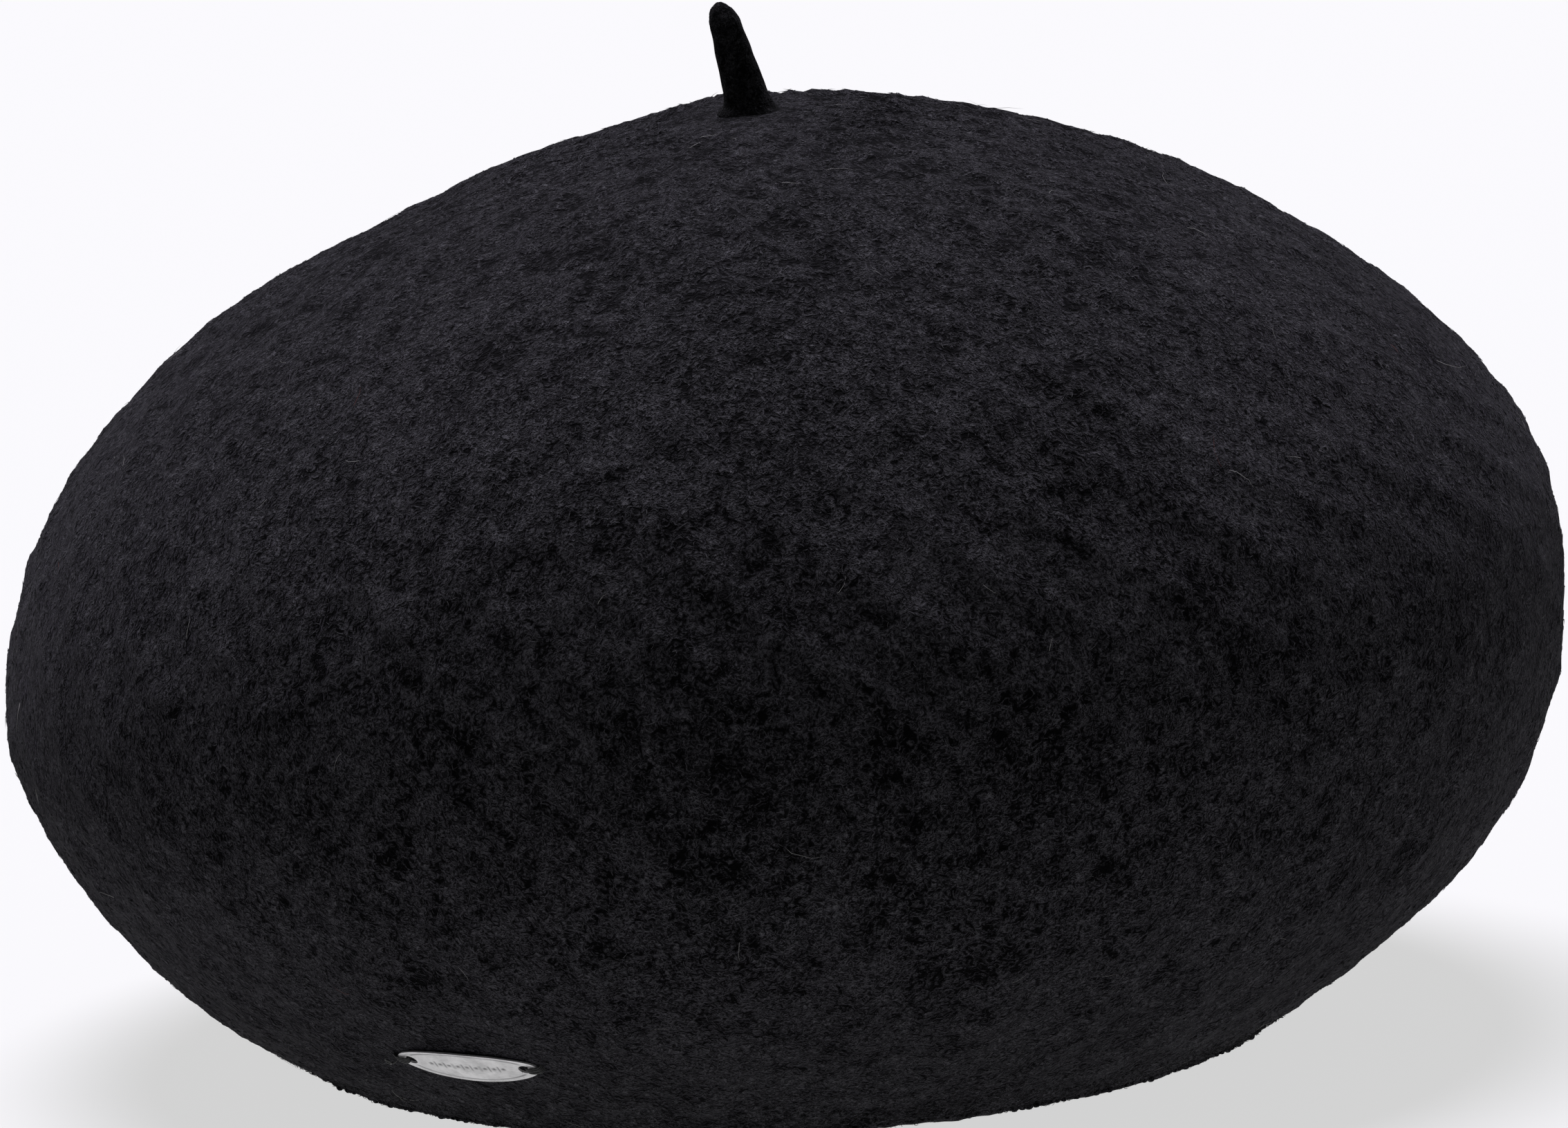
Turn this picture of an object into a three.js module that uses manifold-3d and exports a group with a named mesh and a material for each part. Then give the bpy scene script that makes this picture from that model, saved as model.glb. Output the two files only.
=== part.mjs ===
// A puffed wool beret with a stem, a sewn-on oval plate and a ribbon headband.
// Millimetres, +Z up, front towards -Y, rim standing on z = 0. Angles run from +X towards +Y.
import * as THREE from "three";
import { mergeVertices } from "three/addons/utils/BufferGeometryUtils.js";
import Module from "manifold-3d";

const wasm = await Module();
wasm.setup();

// Driving dimensions.
const FELT_THICKNESS = 2.4;
const HEM_THICKNESS = 5;
const HEM_HEIGHT = 9;
const HEM_STEP = 3;
const CROWN_HEIGHT = 166;
const RIM_X = -2;
const STEM_X = -1;
const STEM_HOLE_RADIUS = 2.8;
const STEM_SEAT_RADIUS = 6;
const GAP = 0.3;
const FRONT_LEFT = THREE.MathUtils.degToRad(238.9);
const BACK = THREE.MathUtils.degToRad(90);

// The outer meridian on each side: a flare that leaves the rim at an angle, the widest point, and the
// crown's slope. "below" and "above" are how long the surface stays upright under and over the widest point.
const SIDES = {
  right: {
    rim: 89,
    flare: 28,
    flareReach: 60,
    wide: 141.5,
    wideZ: 82,
    below: 22,
    above: 44,
    crownReach: 58,
    crownDrop: -4,
  },
  left: {
    rim: 89,
    flare: 20,
    flareReach: 31,
    wide: 138,
    wideZ: 61,
    below: 8,
    above: 70,
    crownReach: 62,
    crownDrop: 17,
  },
  front: {
    rim: 93,
    flare: 46,
    flareReach: 24,
    wide: 133,
    wideZ: 64,
    below: 34,
    above: 52,
    crownReach: 70,
    crownDrop: 0,
  },
};
SIDES.back = SIDES.front;
const RIM_LIFT = 1.5;

const group = new THREE.Group();

function addPiece(name, geometry, color, roughness, metalness = 0) {
  const material = new THREE.MeshStandardMaterial({ color, roughness, metalness });
  const mesh = new THREE.Mesh(geometry, material);
  mesh.name = name;
  group.add(mesh);
  return mesh;
}

// How much each side's numbers count at an angle; the weights add up to 1.
function sideWeights(phi) {
  const across = Math.cos(phi);
  const along = Math.sin(phi);
  return {
    right: Math.max(across, 0) ** 2,
    left: Math.max(-across, 0) ** 2,
    back: Math.max(along, 0) ** 2,
    front: Math.max(-along, 0) ** 2,
  };
}

function sideMeridian(side) {
  const flare = THREE.MathUtils.degToRad(side.flare);
  const rim = new THREE.Vector2(side.rim, RIM_LIFT);
  const flareHandle = new THREE.Vector2(
    side.rim + side.flareReach * Math.cos(flare),
    RIM_LIFT + side.flareReach * Math.sin(flare),
  );
  const widest = new THREE.Vector2(side.wide, side.wideZ);
  const lower = new THREE.CubicBezierCurve(
    rim,
    flareHandle,
    new THREE.Vector2(side.wide, side.wideZ - side.below),
    widest,
  );
  const upper = new THREE.CubicBezierCurve(
    widest,
    new THREE.Vector2(side.wide, side.wideZ + side.above),
    new THREE.Vector2(side.crownReach, CROWN_HEIGHT - side.crownDrop),
    new THREE.Vector2(STEM_HOLE_RADIUS, CROWN_HEIGHT),
  );
  return { lower, upper };
}

const MERIDIANS = {};
for (const [name, side] of Object.entries(SIDES)) MERIDIANS[name] = sideMeridian(side);
const LOWER_SHARE = 0.35;

// Radius and height of the outer surface, for t from 0 at the rim to 1 at the stem's hole.
function outerProfile(phi, t) {
  const weights = sideWeights(phi);
  const point = new THREE.Vector2(0, 0);
  for (const [name, weight] of Object.entries(weights)) {
    const { lower, upper } = MERIDIANS[name];
    const part =
      t < LOWER_SHARE
        ? lower.getPoint(t / LOWER_SHARE)
        : upper.getPoint((t - LOWER_SHARE) / (1 - LOWER_SHARE));
    point.addScaledVector(part, weight);
  }
  // The crown is level where the stem sits.
  const seat = THREE.MathUtils.smoothstep(point.x, STEM_SEAT_RADIUS, 3 * STEM_SEAT_RADIUS);
  point.y = THREE.MathUtils.lerp(CROWN_HEIGHT, point.y, point.x < 3 * STEM_SEAT_RADIUS ? seat : 1);
  return point;
}

function outwardNormal(phi, t) {
  const step = 0.002;
  const before = outerProfile(phi, Math.max(t - step, 0));
  const after = outerProfile(phi, Math.min(t + step, 1));
  const along = after.sub(before).normalize();
  return new THREE.Vector2(along.y, -along.x);
}

// Distance along the outer meridian from the rim, good enough to place the hem and the pieces near it.
function heightAlong(phi, t) {
  const count = 12;
  let sum = 0;
  let last = outerProfile(phi, 0);
  for (let i = 1; i <= count; i++) {
    const next = outerProfile(phi, (t * i) / count);
    sum += next.distanceTo(last);
    last = next;
  }
  return sum;
}

function thicknessAt(phi, t) {
  if (t > LOWER_SHARE) return FELT_THICKNESS;
  const past = THREE.MathUtils.smoothstep(heightAlong(phi, t), HEM_HEIGHT, HEM_HEIGHT + HEM_STEP);
  return THREE.MathUtils.lerp(HEM_THICKNESS, FELT_THICKNESS, past);
}

// A point of the body, at a depth below the outer surface (a negative depth lies above it).
function bodyPoint(phi, t, depth) {
  const profile = outerProfile(phi, t);
  profile.addScaledVector(outwardNormal(phi, t), -depth);
  return place(phi, profile);
}

function place(phi, profile) {
  const axisX = THREE.MathUtils.lerp(RIM_X, STEM_X, THREE.MathUtils.clamp(profile.y / CROWN_HEIGHT, 0, 1));
  return new THREE.Vector3(axisX + profile.x * Math.cos(phi), profile.x * Math.sin(phi), profile.y);
}

function rimRadius(phi) {
  const weights = sideWeights(phi);
  return Object.entries(weights).reduce((sum, [name, weight]) => sum + weight * SIDES[name].rim, 0);
}

// A surface from a grid of points: the section always closes on itself, and the sweep either closes too
// or gets end caps.
function sweptGrid(sectionCount, stepCount, closed, pointAt) {
  const positions = [];
  const index = [];
  for (let j = 0; j < stepCount; j++) {
    for (let i = 0; i < sectionCount; i++) positions.push(...pointAt(i, j).toArray());
  }
  const corner = (i, j) => (j % stepCount) * sectionCount + (i % sectionCount);
  const spans = closed ? stepCount : stepCount - 1;
  for (let j = 0; j < spans; j++) {
    for (let i = 0; i < sectionCount; i++) {
      index.push(corner(i, j), corner(i + 1, j + 1), corner(i + 1, j));
      index.push(corner(i, j), corner(i, j + 1), corner(i + 1, j + 1));
    }
  }
  for (let i = 1; !closed && i < sectionCount - 1; i++) {
    index.push(corner(0, 0), corner(i, 0), corner(i + 1, 0));
    index.push(corner(0, stepCount - 1), corner(i + 1, stepCount - 1), corner(i, stepCount - 1));
  }
  const geometry = new THREE.BufferGeometry();
  geometry.setAttribute("position", new THREE.Float32BufferAttribute(positions, 3));
  geometry.setIndex(index);
  return geometry;
}

// The felt shell: outer wall, stem hole, inner wall and the turned hem, revolved as one closed section.
function feltBody() {
  const turns = 60;
  const rows = 23;
  const rimFlat = [
    new THREE.Vector2(-HEM_THICKNESS, 1.2),
    new THREE.Vector2(-4.2, 0),
    new THREE.Vector2(-0.9, 0),
  ];
  const rowT = (row) => row / (rows - 1);
  const sectionCount = rimFlat.length + 2 * rows;
  return sweptGrid(sectionCount, turns, true, (i, j) => {
    const phi = (2 * Math.PI * j) / turns;
    if (i < rimFlat.length) {
      return place(phi, new THREE.Vector2(rimRadius(phi) + rimFlat[i].x, rimFlat[i].y));
    }
    const row = i - rimFlat.length;
    if (row < rows) return bodyPoint(phi, rowT(row), 0);
    const t = rowT(2 * rows - 1 - row);
    return bodyPoint(phi, t, thicknessAt(phi, t));
  });
}
addPiece("felt_body", feltBody(), 0x24242a, 0.95);

// The stem: a rolled felt spike with a spread foot, whose root goes through the crown.
const STEM_LENGTH = 19.2;
const STEM_LEAN = THREE.MathUtils.degToRad(13.2);
function stem() {
  const rootDepth = FELT_THICKNESS + 6;
  const profile = new THREE.Path();
  profile.moveTo(0, -rootDepth);
  profile.lineTo(STEM_HOLE_RADIUS - GAP, -rootDepth);
  profile.lineTo(STEM_HOLE_RADIUS - GAP, GAP);
  profile.lineTo(5.8, GAP);
  profile.lineTo(5.8, GAP + 0.4);
  profile.quadraticCurveTo(4.5, GAP + 1, 4.3, GAP + 2.6);
  profile.lineTo(3.1, STEM_LENGTH - 4);
  profile.quadraticCurveTo(2.6, STEM_LENGTH, 0, STEM_LENGTH);
  const geometry = new THREE.LatheGeometry(profile.getPoints(6), 28);
  geometry.rotateX(Math.PI / 2);
  // It leans from just above its foot, and its root stays upright.
  const position = geometry.attributes.position;
  for (let i = 0; i < position.count; i++) {
    const height = Math.max(position.getZ(i) - GAP - 0.4, 0);
    position.setX(i, position.getX(i) - Math.tan(STEM_LEAN) * height);
  }
  return geometry;
}
const stemMesh = addPiece("stem", stem(), 0x111114, 0.9);
stemMesh.position.set(STEM_X, 0, CROWN_HEIGHT);

// The ring of thread round the stem's root, inside the crown.
const stemThread = addPiece("stem_thread", new THREE.TorusGeometry(3.5, 0.6, 8, 24), 0x101012, 0.85);
stemThread.position.set(STEM_X, 0, CROWN_HEIGHT - FELT_THICKNESS - 1.4);

// The plate lies on the felt: u runs along it, v up the body and w away from the felt.
const PLATE_LENGTH = 28;
const PLATE_HEIGHT = 9;
const PLATE_THICKNESS = 0.7;
const HOLE_OFFSET = 11.4;
const HOLE_RADIUS = 1.2;
const PLATE_T = 0.103;
function onFelt(u, v, w) {
  const radius = outerProfile(FRONT_LEFT, PLATE_T).x;
  const phi = FRONT_LEFT + u / radius;
  const step = 0.01;
  const rise = outerProfile(phi, PLATE_T + step).distanceTo(outerProfile(phi, PLATE_T)) / step;
  return bodyPoint(phi, PLATE_T + v / rise, -w);
}

// An oval blank bent to the felt, from upright slices whose height follows the oval.
function plateBlank() {
  const across = 6;
  const along = 30;
  const tipAngle = THREE.MathUtils.degToRad(87);
  return sweptGrid(2 * (across + 1), along + 1, false, (i, j) => {
    const theta = THREE.MathUtils.lerp(tipAngle, -tipAngle, j / along);
    const halfHeight = (PLATE_HEIGHT / 2) * Math.cos(theta);
    const nearFelt = i <= across;
    const row = nearFelt ? i : 2 * across + 1 - i;
    const v = THREE.MathUtils.lerp(-halfHeight, halfHeight, row / across);
    return onFelt((PLATE_LENGTH / 2) * Math.sin(theta), v, GAP + (nearFelt ? 0 : PLATE_THICKNESS));
  });
}

// A pin along the felt's normal, for cutting one hole of the plate.
function holePin(side) {
  const low = onFelt(side * HOLE_OFFSET, 0, -1);
  const high = onFelt(side * HOLE_OFFSET, 0, PLATE_THICKNESS + 1);
  const upright = new THREE.Vector3(0, 1, 0);
  const geometry = new THREE.CylinderGeometry(HOLE_RADIUS, HOLE_RADIUS, low.distanceTo(high), 20);
  geometry.applyQuaternion(
    new THREE.Quaternion().setFromUnitVectors(upright, high.clone().sub(low).normalize()),
  );
  const middle = low.lerp(high, 0.5);
  return geometry.translate(middle.x, middle.y, middle.z);
}

function solidOf(geometry) {
  geometry.deleteAttribute("normal");
  geometry.deleteAttribute("uv");
  const merged = mergeVertices(geometry, 1e-4);
  return new wasm.Manifold(
    new wasm.Mesh({
      numProp: 3,
      vertProperties: merged.attributes.position.array,
      triVerts: new Uint32Array(merged.index.array),
    }),
  );
}

function namePlate() {
  const holed = solidOf(plateBlank()).subtract(solidOf(holePin(-1))).subtract(solidOf(holePin(1)));
  const mesh = holed.getMesh();
  const geometry = new THREE.BufferGeometry();
  geometry.setAttribute("position", new THREE.BufferAttribute(mesh.vertProperties, 3));
  geometry.setIndex(new THREE.BufferAttribute(mesh.triVerts, 1));
  return geometry;
}
addPiece("name_plate", namePlate(), 0xb9bbbf, 0.3, 1);

// Each end of the plate is held by a flat bundle of thread, from the hole over the end and into the felt.
function plateThread(side) {
  const foot = 2 * GAP;
  const over = 2 * GAP + PLATE_THICKNESS + 0.45;
  const tip = PLATE_LENGTH / 2 + 1.1;
  const path = new THREE.CatmullRomCurve3(
    [
      onFelt(side * HOLE_OFFSET, 0, foot),
      onFelt(side * HOLE_OFFSET, 0, over - 0.5),
      onFelt(side * (HOLE_OFFSET + 0.9), 0, over + 0.1),
      onFelt(side * (tip - 1), 0, over),
      onFelt(side * tip, 0, over - 0.7),
      onFelt(side * (tip + 0.1), 0, foot),
    ],
    false,
    "centripetal",
  );
  const section = new THREE.Shape();
  section.absellipse(0, 0, 0.4, 0.8, 0, 2 * Math.PI);
  return new THREE.ExtrudeGeometry(section, { steps: 22, extrudePath: path, curveSegments: 5 });
}
addPiece("plate_thread_left", plateThread(-1), 0x0d0d0f, 0.8);
addPiece("plate_thread_right", plateThread(1), 0x0d0d0f, 0.8);

for (const [name, side] of [["plate_knot_left", -1], ["plate_knot_right", 1]]) {
  const knot = addPiece(name, new THREE.SphereGeometry(1.5, 14, 10), 0x0d0d0f, 0.8);
  knot.position.copy(onFelt(side * (HOLE_OFFSET + 2), 0, -FELT_THICKNESS - 2.8));
}

// Ribbon pieces stand on the inside of the hem: z runs up, depth counts inwards from the hem's inner edge.
const RIBBON_THICKNESS = 0.8;
const RIBBON_HEIGHT = 20;
const RIBBON_FOOT = 1.2;
function insideHem(phi, z, depth) {
  const radius = rimRadius(phi) - HEM_THICKNESS - GAP - depth;
  return new THREE.Vector3(RIM_X + radius * Math.cos(phi), radius * Math.sin(phi), z);
}

// A strip of ribbon between two angles, drawn as a rectangular section swept round the rim.
function ribbonStrip(fromPhi, toPhi, lowZ, highZ, depth, thickness, steps) {
  const corners = [
    [depth, highZ],
    [depth + thickness, highZ],
    [depth + thickness, lowZ],
    [depth, lowZ],
  ];
  return sweptGrid(corners.length, steps + 1, false, (i, j) => {
    const phi = THREE.MathUtils.lerp(fromPhi, toPhi, j / steps);
    return insideHem(phi, corners[i][1], corners[i][0]);
  });
}
const BUTT_GAP = 0.004;
const headbandStrip = ribbonStrip(
  BACK + BUTT_GAP,
  BACK + 2 * Math.PI - BUTT_GAP,
  RIBBON_FOOT,
  RIBBON_FOOT + RIBBON_HEIGHT,
  0,
  RIBBON_THICKNESS,
  72,
);
addPiece("headband", headbandStrip, 0x17171a, 0.7);
const FACE_DEPTH = RIBBON_THICKNESS + GAP;
const JOIN_HALF_ANGLE = 0.09;
const joinStrip = ribbonStrip(
  BACK - JOIN_HALF_ANGLE,
  BACK + JOIN_HALF_ANGLE,
  8.2,
  20.6,
  FACE_DEPTH,
  RIBBON_THICKNESS,
  6,
);
addPiece("headband_join", joinStrip, 0x17171a, 0.7);

// A thread that zigzags over a surface(along, across, depth), at a depth that counts away from what it
// lies on.
function zigzagThread({ surface, from, to, closed, waves, middle, swing, depth, radius }) {
  const sides = 6;
  const stepsPerWave = 4;
  const steps = waves * stepsPerWave + (closed ? 0 : 1);
  const spine = (s, lift) => {
    const wave = Math.sin((2 * Math.PI * s) / stepsPerWave);
    const along = THREE.MathUtils.lerp(from, to, s / (waves * stepsPerWave));
    return surface(along, middle + swing * wave, depth + radius + lift);
  };
  return sweptGrid(sides, steps, closed, (i, j) => {
    const here = spine(j, 0);
    const along = spine(j + 0.5, 0).sub(spine(j - 0.5, 0)).normalize();
    const away = spine(j, 1).sub(here).normalize();
    const beside = new THREE.Vector3().crossVectors(along, away).normalize();
    const angle = (-2 * Math.PI * i) / sides;
    here.addScaledVector(away, radius * Math.cos(angle));
    return here.addScaledVector(beside, radius * Math.sin(angle));
  });
}
addPiece(
  "headband_thread",
  zigzagThread({
    surface: insideHem,
    from: BACK,
    to: BACK + 2 * Math.PI,
    closed: true,
    waves: 52,
    middle: 4.2,
    swing: 1.6,
    depth: FACE_DEPTH,
    radius: 0.3,
  }),
  0x0d0d0f,
  0.8,
);

const LABEL_FROM = BACK + 0.16;
const LABEL_TO = BACK + 0.4;
const LABEL_THICKNESS = 0.5;
const sizeStrip = ribbonStrip(LABEL_FROM, LABEL_TO, 7.4, 17.4, FACE_DEPTH, LABEL_THICKNESS, 6);
addPiece("size_label", sizeStrip, 0xd8d5cc, 0.8);
addPiece(
  "size_label_thread",
  zigzagThread({
    surface: insideHem,
    from: LABEL_FROM + 0.01,
    to: LABEL_TO - 0.01,
    closed: false,
    waves: 8,
    middle: 16.2,
    swing: 0.5,
    depth: FACE_DEPTH + LABEL_THICKNESS + GAP,
    radius: 0.25,
  }),
  0x0d0d0f,
  0.8,
);

// The folded care label lies on the inside of the felt, above the hem, at the back right.
const CARE_PHI = THREE.MathUtils.degToRad(62);
const CARE_WIDTH = 24;
const CARE_HEIGHT = 34;
const CARE_FOOT_T = 0.1;
function onLining(u, v, w) {
  const radius = outerProfile(CARE_PHI, CARE_FOOT_T).x;
  const phi = CARE_PHI + u / radius;
  const step = 0.01;
  const rise = outerProfile(phi, CARE_FOOT_T + step).distanceTo(outerProfile(phi, CARE_FOOT_T)) / step;
  return bodyPoint(phi, CARE_FOOT_T + v / rise, FELT_THICKNESS + w);
}
const CARE_CLEARANCE = 0.5;
const CARE_THICKNESS = 0.6;
function careLabel() {
  const across = 6;
  const up = 8;
  const sectionCount = 2 * (up + 1);
  return sweptGrid(sectionCount, across + 1, false, (i, j) => {
    const u = THREE.MathUtils.lerp(-CARE_WIDTH / 2, CARE_WIDTH / 2, j / across);
    const nearFelt = i <= up;
    const row = nearFelt ? i : 2 * up + 1 - i;
    return onLining(u, (CARE_HEIGHT * row) / up, CARE_CLEARANCE + (nearFelt ? 0 : CARE_THICKNESS));
  });
}
addPiece("care_label", careLabel(), 0xe4e2dc, 0.75);
addPiece(
  "care_label_thread",
  zigzagThread({
    surface: onLining,
    from: 1 - CARE_WIDTH / 2,
    to: CARE_WIDTH / 2 - 1,
    closed: false,
    waves: 9,
    middle: 1.8,
    swing: 0.5,
    depth: CARE_CLEARANCE + CARE_THICKNESS + GAP,
    radius: 0.25,
  }),
  0x0d0d0f,
  0.8,
);

export default group;
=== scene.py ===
import math

import bpy
import numpy as np
from mathutils import Matrix, Vector, noise
from mathutils.bvhtree import BVHTree


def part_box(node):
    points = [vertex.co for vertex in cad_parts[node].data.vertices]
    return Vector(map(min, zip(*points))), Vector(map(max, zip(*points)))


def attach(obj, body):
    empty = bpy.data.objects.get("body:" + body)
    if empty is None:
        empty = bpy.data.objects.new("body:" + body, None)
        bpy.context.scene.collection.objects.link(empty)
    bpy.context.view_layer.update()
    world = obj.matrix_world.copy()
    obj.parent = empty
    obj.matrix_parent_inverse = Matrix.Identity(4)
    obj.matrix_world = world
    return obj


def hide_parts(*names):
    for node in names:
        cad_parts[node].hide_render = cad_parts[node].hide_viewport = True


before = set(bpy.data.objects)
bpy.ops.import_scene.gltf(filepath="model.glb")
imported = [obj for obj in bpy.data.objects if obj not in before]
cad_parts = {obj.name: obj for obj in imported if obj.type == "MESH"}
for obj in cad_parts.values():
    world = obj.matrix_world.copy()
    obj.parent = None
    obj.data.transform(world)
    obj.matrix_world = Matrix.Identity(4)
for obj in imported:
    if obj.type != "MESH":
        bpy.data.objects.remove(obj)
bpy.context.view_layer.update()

MM = 0.001
BODY = "root"
RNG = np.random.default_rng(20)

# ---------------------------------------------------------------- camera, floor and light
AIM = Vector((0.95 * MM, 0.0, 83.3 * MM))
ELEVATION = math.radians(11.0)
ROLL = math.radians(-3.0)
CAMERA_DISTANCE = 2.6
SEEN_WIDTH = 280.2 * MM
FLOOR_DROP = 0.4 * MM
FLOOR_GREY, FLOOR_GLOW = 0.18, 0.64
SOFTBOX_STRENGTH, SOFTBOX_SPREAD = 5.6, math.radians(34)
SOFTBOX_FROM = Vector((-0.08, 0.4, 1.0))
ROOM_STRENGTH = 0.1


def set_camera():
    data = bpy.data.cameras.new("front_camera")
    data.sensor_width = 36.0
    data.lens = data.sensor_width * CAMERA_DISTANCE / SEEN_WIDTH
    data.clip_end = 60.0
    camera = bpy.data.objects.new("front_camera", data)
    bpy.context.scene.collection.objects.link(camera)
    back = Vector((0.0, -math.cos(ELEVATION), math.sin(ELEVATION)))
    turn = back.to_track_quat("Z", "Y").to_matrix() @ Matrix.Rotation(ROLL, 3, "Z")
    camera.matrix_world = Matrix.Translation(AIM + back * CAMERA_DISTANCE) @ turn.to_4x4()
    bpy.context.scene.camera = camera


def add_floor():
    bpy.ops.object.select_all(action="DESELECT")
    bpy.ops.mesh.primitive_plane_add(size=24.0, location=(0.0, 6.0, -FLOOR_DROP))
    floor = bpy.context.object
    floor.name = "pale_floor"
    material = bpy.data.materials.new("pale_floor")
    material.use_nodes = True
    surface = material.node_tree.nodes["Principled BSDF"]
    surface.inputs["Base Color"].default_value = (FLOOR_GREY, FLOOR_GREY, FLOOR_GREY, 1.0)
    surface.inputs["Emission Color"].default_value = (1.0, 1.0, 1.0, 1.0)
    surface.inputs["Emission Strength"].default_value = FLOOR_GLOW
    surface.inputs["Roughness"].default_value = 0.9
    surface.inputs["Specular IOR Level"].default_value = 0.1
    floor.data.materials.append(material)


def add_light():
    world = bpy.data.worlds.new("studio")
    bpy.context.scene.world = world
    world.use_nodes = True
    background = world.node_tree.nodes["Background"]
    background.inputs["Color"].default_value = (0.96, 0.97, 1.0, 1.0)
    background.inputs["Strength"].default_value = ROOM_STRENGTH

    overhead = bpy.data.lights.new("overhead_softbox", "SUN")
    overhead.energy = SOFTBOX_STRENGTH
    overhead.angle = SOFTBOX_SPREAD
    overhead.color = (0.98, 0.95, 1.06)
    lamp = bpy.data.objects.new("overhead_softbox", overhead)
    bpy.context.scene.collection.objects.link(lamp)
    lamp.rotation_euler = SOFTBOX_FROM.to_track_quat("Z", "Y").to_euler()


set_camera()
add_floor()
add_light()
bpy.context.scene.view_settings.view_transform = "Standard"


# ---------------------------------------------------------------- node helpers
def link(tree, source, target):
    tree.links.new(source, target)


def add_node(tree, kind, **values):
    node = tree.nodes.new(kind)
    for name, value in values.items():
        if hasattr(node, name):
            setattr(node, name, value)
        else:
            node.inputs[name.replace("_", " ")].default_value = value
    return node


def new_group(name, inputs, outputs):
    group = bpy.data.node_groups.new(name, "ShaderNodeTree")
    for label, kind, value in inputs:
        socket = group.interface.new_socket(name=label, in_out="INPUT", socket_type=kind)
        socket.default_value = value
    for label, kind in outputs:
        group.interface.new_socket(name=label, in_out="OUTPUT", socket_type=kind)
    return group, group.nodes.new("NodeGroupInput"), group.nodes.new("NodeGroupOutput")


FLOAT, COLOUR = "NodeSocketFloat", "NodeSocketColor"
BLACK, GREY = (0.006, 0.006, 0.007, 1.0), (0.03, 0.03, 0.035, 1.0)


def ranged(tree, value, low, high, to_low=0.0, to_high=1.0):
    """A value carried from low..high to to_low..to_high, and held there."""
    node = add_node(tree, "ShaderNodeMapRange")
    node.inputs["From Min"].default_value = low
    node.inputs["From Max"].default_value = high
    node.inputs["To Min"].default_value = to_low
    node.inputs["To Max"].default_value = to_high
    link(tree, value, node.inputs["Value"])
    return node.outputs["Result"]


def combined(tree, operation, *values):
    """A Math node of sockets or plain numbers."""
    node = add_node(tree, "ShaderNodeMath", operation=operation)
    for slot, value in enumerate(values):
        if isinstance(value, (int, float)):
            node.inputs[slot].default_value = value
        else:
            link(tree, value, node.inputs[slot])
    return node.outputs[0]


def surface_map(tree):
    """The two directions of a piece's own UV map."""
    place = tree.nodes.new("ShaderNodeUVMap")
    split = tree.nodes.new("ShaderNodeSeparateXYZ")
    link(tree, place.outputs["UV"], split.inputs[0])
    return split.outputs["X"], split.outputs["Y"]


def blended(tree, share, first, second):
    """The colour at a share of the way from first to second."""
    node = add_node(tree, "ShaderNodeMix", data_type="RGBA")
    for name, value in (("Factor", share), ("A", first), ("B", second)):
        if isinstance(value, tuple):
            node.inputs[name].default_value = value
        else:
            link(tree, value, node.inputs[name])
    return node.outputs["Result"]


def relief_on(tree, surface, height, distance, strength):
    bump = add_node(tree, "ShaderNodeBump", Strength=strength, Distance=distance)
    link(tree, height, bump.inputs["Height"])
    link(tree, bump.outputs["Normal"], surface.inputs["Normal"])


def add_group(tree, group, **values):
    node = tree.nodes.new("ShaderNodeGroup")
    node.node_tree = group
    for name, value in values.items():
        node.inputs[name.replace("_", " ")].default_value = value
    return node


def make_wool_nap():
    """Matted wool: tufts about a millimetre across, thin winding strands over them, dark pits between; the
    dark of the pits is partly the wool's own black and partly painted shade.
    """
    group, given, result = new_group(
        "wool_nap",
        [("Tuft Size", FLOAT, 1.0), ("Dark", COLOUR, BLACK), ("Light", COLOUR, GREY)],
        [("Color", COLOUR), ("Height", FLOAT), ("Roughness", FLOAT)],
    )
    place = group.nodes.new("ShaderNodeTexCoord")
    size = add_node(group, "ShaderNodeVectorMath", operation="SCALE")
    link(group, place.outputs["Object"], size.inputs[0])
    link(group, given.outputs["Tuft Size"], size.inputs["Scale"])

    tufts = add_node(group, "ShaderNodeTexNoise", Scale=620.0, Detail=2.0, Roughness=0.6, Distortion=1.4)
    clumps = add_node(group, "ShaderNodeTexNoise", Scale=210.0, Detail=2.0, Roughness=0.55, Distortion=0.8)
    patches = add_node(group, "ShaderNodeTexNoise", Scale=38.0, Detail=2.0, Roughness=0.5)
    strands = add_node(group, "ShaderNodeTexNoise", Scale=820.0, Detail=1.0, Roughness=0.5, Distortion=1.8)
    for texture in (tufts, clumps, patches, strands):
        link(group, size.outputs[0], texture.inputs["Vector"])

    off_line = combined(group, "ABSOLUTE", combined(group, "SUBTRACT", strands.outputs["Fac"], 0.5))
    line = ranged(group, off_line, 0.0, 0.12, 1.0, 0.0)
    clumping = combined(group, "MULTIPLY", clumps.outputs["Fac"], 0.4)
    matting = combined(group, "MULTIPLY_ADD", tufts.outputs["Fac"], 0.6, clumping)
    toned = combined(group, "MULTIPLY_ADD", patches.outputs["Fac"], 0.16, matting)
    body = ranged(group, toned, 0.49, 0.68)
    share = combined(group, "MULTIPLY", body, combined(group, "MULTIPLY_ADD", line, 0.85, 0.1))
    # Colour runs from the dark pits to the light tufts and strands. It is partly the wool's own mottled tone
    # and partly painted shade in the pits, where the relief is too fine for the mesh.
    colour = blended(group, share, given.outputs["Dark"], given.outputs["Light"])
    link(group, colour, result.inputs["Color"])
    link(group, combined(group, "MULTIPLY_ADD", share, 0.45, matting), result.inputs["Height"])
    link(group, ranged(group, matting, 0.0, 1.0, 1.0, 0.8), result.inputs["Roughness"])
    return group


WOOL_NAP = make_wool_nap()


def blank_material(name):
    material = bpy.data.materials.new(name)
    material.use_nodes = True
    return material, material.node_tree, material.node_tree.nodes["Principled BSDF"]


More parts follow.
